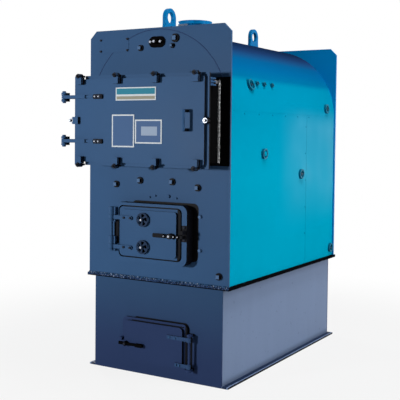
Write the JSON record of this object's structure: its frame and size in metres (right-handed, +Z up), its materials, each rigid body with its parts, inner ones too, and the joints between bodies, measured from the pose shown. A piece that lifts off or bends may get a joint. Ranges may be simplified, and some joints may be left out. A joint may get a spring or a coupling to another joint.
{
  "type": "firebox boiler",
  "caption": "Horizontal firebox boiler on a box base: jacketed vessel with an arched crown, front smokebox with a clamped hinged door, cast fire door with draft spinners, and an ash door.",
  "frame": {"origin": "on the floor, at the middle of the base's footprint, on the underside of the ash pit's floor pan", "axes": "+X to the right seen from the front, +Y to the back, +Z up; the doors face -Y"},
  "size_m": [0.967, 1.96, 2.028],
  "materials": {
    "slate_paint": "satin",
    "teal_paint": "gloss",
    "dark_iron": "matt",
    "firebox_steel": "sooted matt",
    "fibre_board": "matt",
    "bare_plate": "satin"
  },
  "bodies": {
    "boiler": {"base_front_panel": "slate_paint", "base_rear_panel": "slate_paint", "base_side_panels": "slate_paint", "base_floor_pan": "firebox_steel", "base_top_ring": "dark_iron", "grate_bars": "dark_iron", "ash_door_frame": "slate_paint", "front_fire_sheet": "slate_paint", "front_tube_sheet": "slate_paint", "front_casing_sheet": "slate_paint", "rear_sheet": "teal_paint", "fire_tubes": "firebox_steel", "jacket_crown": "teal_paint", "jacket_sides": "teal_paint", "firebox_side_sheets": "firebox_steel", "firebox_crown_sheet": "firebox_steel", "firebox_end_sheets": "firebox_steel", "fire_door_frame": "slate_paint", "smokebox_casing": "dark_iron", "smokebox_flange": "slate_paint", "smokebox_rear_frame": "dark_iron", "smokebox_seal": "fibre_board", "smokebox_hinge_brackets": "slate_paint", "lifting_lugs": "teal_paint", "supply_nozzle": "teal_paint", "supply_flange": "teal_paint", "handhole_cover": "dark_iron", "front_plugs": "slate_paint", "side_tappings": "teal_paint", "data_plate": "slate_paint", "flue_box": "teal_paint", "flue_collar": "teal_paint", "return_coupling": "dark_iron"},
    "smokebox_door": {"smokebox_door_plate": "slate_paint", "smokebox_door_lining": "fibre_board", "smokebox_door_straps": "slate_paint", "smokebox_door_handle": "slate_paint", "smokebox_door_clamps": "slate_paint", "door_plates": "bare_plate"},
    "fire_door": {"fire_door_plate": "slate_paint", "fire_door_liner": "firebox_steel", "fire_door_straps": "slate_paint"},
    "fire_latch": {"fire_door_latch": "slate_paint"},
    "spinner_lower": {"draft_spinner_lower": "dark_iron"},
    "spinner_upper": {"draft_spinner_upper": "dark_iron"},
    "ash_door": {"ash_door_plate": "slate_paint", "ash_door_straps": "slate_paint"},
    "ash_latch": {"ash_door_latch": "dark_iron"}
  },
  "joints": [
    {"name": "smokebox_door_hinge", "type": "hinge", "parent": "boiler", "child": "smokebox_door", "pos_m": [-0.487, -0.925, 1.4115], "axis": [0, 0, -1], "range_deg": [0, 110]},
    {"name": "fire_door_hinge", "type": "hinge", "parent": "boiler", "child": "fire_door", "pos_m": [-0.24, -0.813, 0.793], "axis": [0, 0, -1], "range_deg": [0, 110]},
    {"name": "fire_latch_turn", "type": "hinge", "parent": "fire_door", "child": "fire_latch", "pos_m": [0.15, -0.819, 0.794], "axis": [0, 1, 0], "range_deg": [0, 80]},
    {"name": "spinner_lower_turn", "type": "hinge", "parent": "fire_door", "child": "spinner_lower", "pos_m": [-0.03, -0.817, 0.722], "axis": [0, -1, 0], "continuous": true},
    {"name": "spinner_upper_turn", "type": "hinge", "parent": "fire_door", "child": "spinner_upper", "pos_m": [-0.03, -0.817, 0.87], "axis": [0, -1, 0], "continuous": true},
    {"name": "ash_door_hinge", "type": "hinge", "parent": "boiler", "child": "ash_door", "pos_m": [0.238, -0.76, 0.168], "axis": [0, 0, 1], "range_deg": [0, 110]},
    {"name": "ash_latch_turn", "type": "hinge", "parent": "ash_door", "child": "ash_latch", "pos_m": [-0.172, -0.769, 0.168], "axis": [0, -1, 0], "range_deg": [0, 80]}
  ]
}
